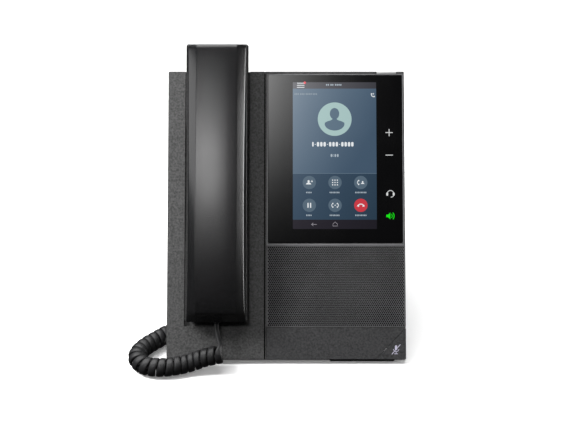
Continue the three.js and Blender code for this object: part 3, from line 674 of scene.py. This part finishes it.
pale_marks = [pill(28.1, 53.7, 29.5, 55.9), pill(31.0, 53.7, 32.2, 55.9), pill(32.8, 53.7, 34.0, 55.9)]
pale_marks += [round_mark(30.25, v, 0.3, count=10) for v in (54.3, 55.3)]
pale_marks += [pill(x, 107.3, x + 0.95, 108.6) for x in (24.8, 26.1, 28.1, 29.4, 31.5, 32.8, 34.1, 35.4)]
label_words = {0: (-2.3, 2.3), 1: (-4.0, 4.0), 2: (-4.2, 4.2)}
for row in key_rows:
    for column, (left, right) in label_words.items():
        x = key_columns[column] + left
        while x < key_columns[column] + right - 0.6:
            pale_marks.append(pill(x, row - 8.05, x + 0.72, row - 6.85))
            x += 1.08
flat_marks("screen_pale_marks", pale_marks, top_level, pale)
faint_marks = [pill(x, 100.3, x + 0.95, 101.7) for x in
               (1.2, 2.4, 3.6, 5.4, 6.6, 7.8, 9.6, 10.8, 12.0, 13.2, 14.8, 16.0, 17.2)]
flat_marks("screen_faint_marks", faint_marks, top_level, faint)
nav_marks = [stroke([(13.8, 3.4), (17.6, 3.4)], 0.4), stroke([(15.1, 4.5), (13.8, 3.4), (15.1, 2.3)], 0.4)]
home = [(29.6, 3.6), (31.3, 5.2), (33.0, 3.6), (33.0, 2.2), (29.6, 2.2), (29.6, 3.3)]
nav_marks.append(stroke(home, 0.35))
flat_marks("screen_nav_marks", nav_marks, top_level, lit("screen_nav_mark", linear(150, 146, 154)))
flat_marks("notice_dot", [round_mark(8.9, 109.5, 0.95, count=20)], top_level,
           lit("screen_notice", linear(232, 70, 84)))


# ---------------------------------------------------------------- touch keys
# Four marks printed in the black behind the glass and lit from behind: louder, quieter, headset
# and loudspeaker. They don't move.
def mark_place(x, v):
    return x - screen_left, v - screen_foot


touch_level = 0.14
x, v = mark_place(76.6, 169.0)
touch_marks = plus_mark(x, v, 2.7, 0.55)
x, v = mark_place(76.6, 152.1)
touch_marks.append(rectangle(x - 2.7, v - 0.28, x + 2.7, v + 0.28))
x, v = mark_place(77.3, 123.6)
touch_marks.append(stroke(arc(x, v - 0.3, 2.35, 20, 160, 16), 0.5))
touch_marks += [pill(x - 3.1, v - 1.9, x - 1.7, v + 0.6), pill(x + 1.7, v - 1.9, x + 3.1, v + 0.6)]
touch_marks.append(stroke(arc(x + 0.4, v - 0.6, 2.3, -35, -95, 8), 0.5))
flat_marks("touch_marks", touch_marks, touch_level, lit("touch_white", linear(214, 216, 216)))
x, v = mark_place(76.9, 106.7)
horn = [(-2.8, -0.95), (-1.5, -0.95), (0.2, -2.5), (0.2, 2.5), (-1.5, 0.95), (-2.8, 0.95)]
speaker_marks = [[(screen_left + x + a, screen_foot + v + b) for a, b in horn],
                 stroke(arc(x - 0.6, v, 2.2, -40, 40, 8), 0.5),
                 stroke(arc(x - 0.6, v, 3.6, -42, 42, 10), 0.55)]
flat_marks("loudspeaker_mark", speaker_marks, touch_level, lit("touch_green", linear(24, 226, 24)))


# ---------------------------------------------------------------- speaker grille
# A sheet of black-painted steel, punched all over with small round holes in staggered rows, in
# front of black speaker cloth. It is pressed into its recess from the front.
grille_paint = material("grille_paint", linear(88, 88, 89), 0.42, Specular_IOR_Level=0.5)
add_grain(grille_paint, 0.3 * MM, 0.02 * MM)
add_mottle(grille_paint, 9 * MM, 0.16)
speaker_cloth = material("speaker_cloth", linear(3, 3, 3), 0.95, Specular_IOR_Level=0.05)
add_grain(speaker_cloth, 0.15 * MM, 0.05 * MM)


def grille_span(way, origin):
    """Lowest and highest place of the grille sheet along a direction, in millimetres."""
    places = [(v.co.dot(way) - origin) / MM for v in nodes["speaker_grille"].data.vertices]
    return min(places), max(places)


left, right = grille_span(Vector((1, 0, 0)), 0)
foot, head = grille_span(face_up, face_foot)
back, front_level = grille_span(face_out, face_level)
hole_pitch = 1.485
hole_radius = 0.64
hole_depth = 1.3
margin = 0.5
hole_sides = 8
columns = int((right - left - 2 * margin) / hole_pitch)
row_count = round((head - foot - 2 * margin) / (hole_pitch * 0.875))
row_height = (head - foot - 2 * margin) / row_count
field_left = (left + right - columns * hole_pitch) / 2
grille_points, grille_faces, grille_index = [], [], {}


def grille_vertex(x, v, out):
    key = (round(x, 4), round(v, 4), out)
    if key not in grille_index:
        grille_index[key] = len(grille_points)
        grille_points.append(on_face(x, v, out))
    return grille_index[key]


cloth_faces = set()
field_foot = foot + margin
for row in range(row_count):
    shift = hole_pitch / 2 if row % 2 else 0
    low, high = field_foot + row * row_height, field_foot + (row + 1) * row_height
    middle = (low + high) / 2
    for column in range(columns - row % 2):
        x0 = field_left + shift + column * hole_pitch
        x_middle, x1 = x0 + hole_pitch / 2, x0 + hole_pitch
        rim = [(x1, middle), (x1, high), (x_middle, high), (x0, high), (x0, middle), (x0, low),
               (x_middle, low), (x1, low)]
        rim = [grille_vertex(x, v, front_level) for x, v in rim]
        turns_round = [math.tau * i / hole_sides for i in range(hole_sides)]
        ring_places = [(x_middle + hole_radius * math.cos(t), middle + hole_radius * math.sin(t))
                       for t in turns_round]
        lip = [grille_vertex(x, v, front_level) for x, v in ring_places]
        base = [grille_vertex(x, v, front_level - hole_depth) for x, v in ring_places]
        for i in range(hole_sides):
            j = (i + 1) % hole_sides
            grille_faces.append((rim[i], rim[j], lip[j], lip[i]))
            grille_faces.append((lip[i], lip[j], base[j], base[i]))
        cloth_faces.add(len(grille_faces))
        grille_faces.append(tuple(base))
    first, last = field_left + shift, field_left + shift + (columns - row % 2) * hole_pitch
    near_left = [left, field_left] + ([first] if shift else [])
    near_right = ([last] if shift else []) + [field_left + columns * hole_pitch, right]
    grille_faces.append(tuple(grille_vertex(x, low, front_level) for x in near_left)
                        + (grille_vertex(first, middle, front_level),)
                        + tuple(grille_vertex(x, high, front_level) for x in reversed(near_left)))
    grille_faces.append(tuple(grille_vertex(x, low, front_level) for x in near_right)
                        + tuple(grille_vertex(x, high, front_level) for x in reversed(near_right))
                        + (grille_vertex(last, middle, front_level),))
field_head = field_foot + row_count * row_height
seams = [field_left + i * hole_pitch / 2 for i in range(2 * columns + 1)]
for level, edge, order in ((field_foot, foot, 1), (field_head, head, -1)):
    strip = [grille_vertex(left, edge, front_level), grille_vertex(right, edge, front_level),
             grille_vertex(right, level, front_level)]
    strip += [grille_vertex(x, level, front_level) for x in reversed(seams)]
    strip.append(grille_vertex(left, level, front_level))
    grille_faces.append(tuple(strip if order > 0 else reversed(strip)))
side_line = [grille_vertex(left, foot, front_level), grille_vertex(right, foot, front_level)]
row_ends = [field_foot + i * row_height for i in range(row_count + 1)]
side_line += [grille_vertex(right, v, front_level) for v in row_ends]
side_line += [grille_vertex(right, head, front_level), grille_vertex(left, head, front_level)]
side_line += [grille_vertex(left, field_head - i * row_height, front_level) for i in range(row_count + 1)]
under_line = []
for index in side_line:
    grille_points.append(grille_points[index] + face_out * (back - front_level) * MM)
    under_line.append(len(grille_points) - 1)
for i in range(len(side_line)):
    j = (i + 1) % len(side_line)
    grille_faces.append((side_line[j], side_line[i], under_line[i], under_line[j]))
grille_faces.append(tuple(reversed(under_line)))
grille = mesh_piece("punched_grille", grille_points, grille_faces, grille_paint, speaker_cloth,
                    smooth=False)
for i in cloth_faces:
    grille.data.polygons[i].material_index = 1
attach(grille, "phone_body")
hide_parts("speaker_grille")


# ---------------------------------------------------------------- trim bar and mute key
# A plain moulded bar closes the face below the grille. Its lower right corner is cut off as the
# mute key, a triangle on a short leaf spring, with a crossed-out microphone printed on it.
trim_plastic = material("trim_plastic", linear(53, 53, 54), 0.48, Specular_IOR_Level=0.45)
add_grain(trim_plastic, 0.5 * MM, 0.14 * MM)
add_mottle(trim_plastic, 0.7 * MM, 0.55)
for node in ("lower_trim_bar", "mute_button"):
    dress(node, trim_plastic)
    soften(node, 0.2 * MM)

x, v = mark_place(80.7, 8.1)
mute_marks = [pill(x - 0.85, v - 0.3, x + 0.85, v + 3.3), stroke(arc(x, v + 0.6, 2.0, 185, 355, 12), 0.42),
              rectangle(x - 0.22, v - 2.9, x + 0.22, v - 1.3),
              rectangle(x - 1.3, v - 3.2, x + 1.3, v - 2.75),
              stroke([(x - 3.2, v - 3.3), (x + 3.1, v + 3.8)], 0.5)]
mute_ink = material("mute_ink", linear(194, 191, 210), 0.6)
add_mottle(mute_ink, 1 * MM, 0.08)
flat_marks("mute_mark", mute_marks, 0.04, mute_ink, body="mute_key", thick=0.06)


# ---------------------------------------------------------------- message lamp
# A diffuser strip let into the top edge: milky polycarbonate that lights up from inside when a
# message waits. It is unlit here.
diffuser = material("lamp_diffuser", linear(200, 201, 200), 0.35)
add_grain(diffuser, 0.6 * MM, 0.01 * MM)
add_mottle(diffuser, 3 * MM, 0.06)
dress("message_lamp", diffuser)
soften("message_lamp", 0.15 * MM)


# ---------------------------------------------------------------- handset
# Two glossy-grained ABS shells joined along the side, a little hollow steel weight inside for
# feel. The back is a long shallow arch with a crowned centre between two sloping bands.
handset_x = -51.0
handset_foot, handset_head = 28.3, 232.4
handset_split = 13.0
end_height, head_height, crown_height = 21.0, 19.0, 25.8
foot_slope, head_slope = 4.5, 1.5
crown_half, crown_drop = 14.9, 0.5
shoulder_drop = 4.9
side_taper = 0.2
side_half_at_split = 21.9
apex_lean = 0.68
corner_radii = (2.6, 0.9)
crown_steps = 7
end_bow, bow_length = 1.1, 18


def round_corners(points, radii, steps=6):
    """The open outline with each inner corner replaced by a small arc-like curve."""
    line = [points[0]]
    for before, corner_at, after, radius in zip(points, points[1:], points[2:], radii):
        way_in = Vector(corner_at) - Vector(before)
        way_out = Vector(after) - Vector(corner_at)
        reach = radius * math.tan(way_in.angle(way_out) / 2)
        start = Vector(corner_at) - way_in.normalized() * reach
        end = Vector(corner_at) + way_out.normalized() * reach
        for step in range(steps + 1):
            t = step / steps
            line.append(tuple(start * (1 - t) ** 2 + Vector(corner_at) * 2 * t * (1 - t) + end * t ** 2))
    line.append(points[-1])
    return line


def handset_section(height, inset):
    """Half outline from the parting line over the shoulder to the crown, then its mirror."""
    shoulder = height - shoulder_drop
    shoulder_x = side_half_at_split - side_taper * (shoulder - handset_split)
    flat_half = crown_half * 0.55
    corners = [(side_half_at_split, handset_split), (shoulder_x, shoulder),
               (crown_half, height - crown_drop), (flat_half, height - crown_drop * 0.3)]
    half = round_corners(corners, corner_radii)[:-1]
    for i in range(crown_steps, 0, -1):
        x = flat_half * i / crown_steps
        half.append((x, height - crown_drop * (x / crown_half) ** 2))
    half.append((0, height))
    whole = half + [(-x, w) for x, w in reversed(half[:-1])]
    return [(x * (1 - inset / side_half_at_split), handset_split + (w - handset_split)
             * (height - inset - handset_split) / (height - handset_split)) for x, w in whole]


def handset_skin(inset):
    """Rows of points from end to end: an upturned tub whose edge lies on the parting line."""
    foot_v, head_v = handset_foot + inset, handset_head - inset
    rows = [(foot_v, 0.0, 1.4), (foot_v + 0.15, 0.03, 0.8), (foot_v + 0.5, 0.1, 0.35),
            (foot_v + 1.4, 0.29, 0.05)]
    sloping = ((0.6, 0.57), (0.82, 0.79), (0.93, 0.9), (1.0, 0.955))
    rows += [(foot_v + foot_slope * share, rise, 0) for share, rise in sloping]
    rows += [(foot_v + foot_slope + 0.5, 0.985, 0), (foot_v + foot_slope + 1.2, 1.0, 0)]
    straight = 44
    first, last = foot_v + foot_slope + 3, head_v - head_slope - 3
    rows += [(first + (last - first) * i / straight, 1.0, 0) for i in range(straight + 1)]
    rows += [(head_v - head_slope - 1.0, 1.0, 0), (head_v - head_slope - 0.4, 0.985, 0),
             (head_v - head_slope, 0.95, 0.15), (head_v - head_slope * 0.6, 0.87, 0.4),
             (head_v - head_slope * 0.25, 0.72, 0.8), (head_v - 0.1, 0.45, 1.2), (head_v, 0.0, 1.7)]
    skin = []
    arch_first, arch_last = handset_foot + foot_slope, handset_head - head_slope
    for v, rise, tuck in rows:
        share = min(max((v - arch_first) / (arch_last - arch_first), 0), 1) ** apex_lean
        low_end = end_height if share < 0.5 else head_height
        height = low_end + (crown_height - low_end) * math.sin(math.pi * share) ** 0.8
        bow = end_bow * max(0.0, 1 - (v - foot_v) / bow_length) * rise
        line = []
        for x, w in handset_section(height, inset):
            x *= 1 - tuck / side_half_at_split
            w = handset_split + (w - handset_split) * rise
            line.append(on_face(handset_x + x, v + bow * (1 - (x / side_half_at_split) ** 2), w))
        skin.append(line)
    return skin


outside, inside = handset_skin(0), handset_skin(2.0)
wide, long = len(outside[0]), len(outside)
handset_points = [p for row in outside for p in row] + [p for row in inside for p in row]
handset_faces = []
for i in range(long - 1):
    for j in range(wide - 1):
        a, b = i * wide + j, (i + 1) * wide + j
        handset_faces.append((a, b, b + 1, a + 1))
        c, d = a + wide * long, b + wide * long
        handset_faces.append((c, c + 1, d + 1, d))
edge = list(range(wide)) + [i * wide + wide - 1 for i in range(1, long)]
edge += [(long - 1) * wide + j for j in range(wide - 2, -1, -1)]
edge += [i * wide for i in range(long - 2, 0, -1)]
for a, b in zip(edge, edge[1:] + edge[:1]):
    handset_faces.append((a, b, b + wide * long, a + wide * long))
handset_plastic = material("handset_plastic", linear(15, 15, 16), 0.24, Specular_IOR_Level=0.5,
                           Coat_Weight=0.45, Coat_Roughness=0.17)
add_grain(handset_plastic, 0.5 * MM, 0.04 * MM)
add_mottle(handset_plastic, 0.7 * MM, 0.5)
add_wear(handset_plastic, 25 * MM, 0.21, 0.27)
handset_back = mesh_piece("handset_back", handset_points, handset_faces, handset_plastic)
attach(handset_back, "handset")
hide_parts("handset_outer_shell")
dress("handset_inner_shell", handset_plastic)
soften("handset_inner_shell", 0.4 * MM, 3)


# ---------------------------------------------------------------- pieces held inside and behind
# Boards, sockets, springs and screws that show only when the handset is off, from behind or with
# the shells apart.
black_plastic = material("black_plastic", linear(24, 24, 25), 0.45, Specular_IOR_Level=0.45)
add_grain(black_plastic, 0.6 * MM, 0.02 * MM)
add_mottle(black_plastic, 4 * MM, 0.15)
add_wear(black_plastic, 12 * MM, 0.38, 0.55)
rubber = material("rubber", linear(30, 30, 30), 0.85, Specular_IOR_Level=0.3)
add_grain(rubber, 0.35 * MM, 0.05 * MM)
add_mottle(rubber, 3 * MM, 0.25)
steel = material("pressed_steel", linear(168, 170, 172), 0.32, Metallic=1.0)
add_grain(steel, 0.25 * MM, 0.01 * MM, stretch=(12, 1, 1))
add_wear(steel, 5 * MM, 0.24, 0.42)
board = material("circuit_board", linear(24, 66, 44), 0.4, Coat_Weight=0.4)
add_grain(board, 0.8 * MM, 0.02 * MM)
add_mottle(board, 2 * MM, 0.3)
paper_cone = material("speaker_paper", linear(32, 32, 33), 0.9)
add_grain(paper_cone, 0.3 * MM, 0.06 * MM)
panel = material("display_panel", linear(40, 46, 52), 0.3)
add_mottle(panel, 8 * MM, 0.1)
inner_pieces = {
    "black_plastic": (black_plastic, (
        "lan_jack", "pc_jack", "power_jack", "headset_jack", "handset_jack", "usb_port", "mute_switch",
        "hook_plunger", "hook_switch", "hanging_tab", "handset_socket", "handsfree_microphone",
        "mouthpiece_microphone")),
    "rubber": (rubber, ("front_foot_left", "front_foot_right", "rear_foot_left", "rear_foot_right",
                        "speaker_gasket", "receiver_gasket", "microphone_boot")),
    "pressed_steel": (steel, ("lcd_tray", "speaker_basket", "speaker_magnet", "hook_spring", "receiver",
                              "balance_weight", "case_screw_1", "case_screw_2", "case_screw_3",
                              "case_screw_4", "handset_screw_1", "handset_screw_2")),
    "circuit_board": (board, ("main_board", "touch_key_board", "mute_board")),
    "speaker_paper": (paper_cone, ("speaker_cone",)),
    "display_panel": (panel, ("lcd_panel",)),
}
for slot, (coat, names) in inner_pieces.items():
    for name in names:
        dress(name, coat)
        soften(name, 0.15 * MM)


# ---------------------------------------------------------------- desk stand
# A ribbed ABS bracket that hooks into the back of the housing, with a window for the cables.
dress("desk_stand", shell_plastic)
soften("desk_stand", 0.4 * MM, 3)
